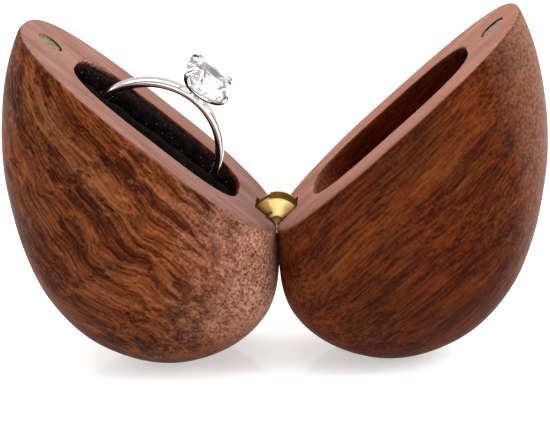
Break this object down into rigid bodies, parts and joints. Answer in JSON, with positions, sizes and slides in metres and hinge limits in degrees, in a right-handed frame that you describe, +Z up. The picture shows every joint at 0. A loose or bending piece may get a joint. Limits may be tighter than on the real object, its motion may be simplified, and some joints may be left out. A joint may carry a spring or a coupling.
{
  "type": "ring box",
  "caption": "Hinged wooden heart-shaped ring box standing open, with velvet pads, closing magnets and a solitaire ring held in the slit.",
  "frame": {"origin": "centre of the floor footprint, on the floor plane under the hinge pin, box standing open", "axes": "+X toward the lid half, +Y away from the viewer along the hinge pin, +Z up"},
  "size_m": [0.0758, 0.0282, 0.0493],
  "materials": {
    "walnut": "satin oiled walnut with open pores",
    "brass": "polished",
    "magnet": "nickel plated disc",
    "velvet": "black velvet with a short pile",
    "white_gold": "polished white metal",
    "stone": "clear faceted stone"
  },
  "bodies": {
    "base": {"base_shell": "walnut", "base_magnet": "magnet", "hinge_inner_fork": "brass", "hinge_pin": "brass", "velvet_pad_near": "velvet", "velvet_pad_far": "velvet", "ring_band": "white_gold", "ring_head": "white_gold", "ring_stone": "stone"},
    "lid": {"lid_shell": "walnut", "lid_magnet": "magnet", "hinge_outer_fork": "brass"}
  },
  "joints": [
    {"name": "lid_hinge", "type": "hinge", "parent": "base", "child": "lid", "pos_m": [0, 0, 0.0199], "axis": [0, -1, 0], "range_deg": [0, 97.6]}
  ]
}
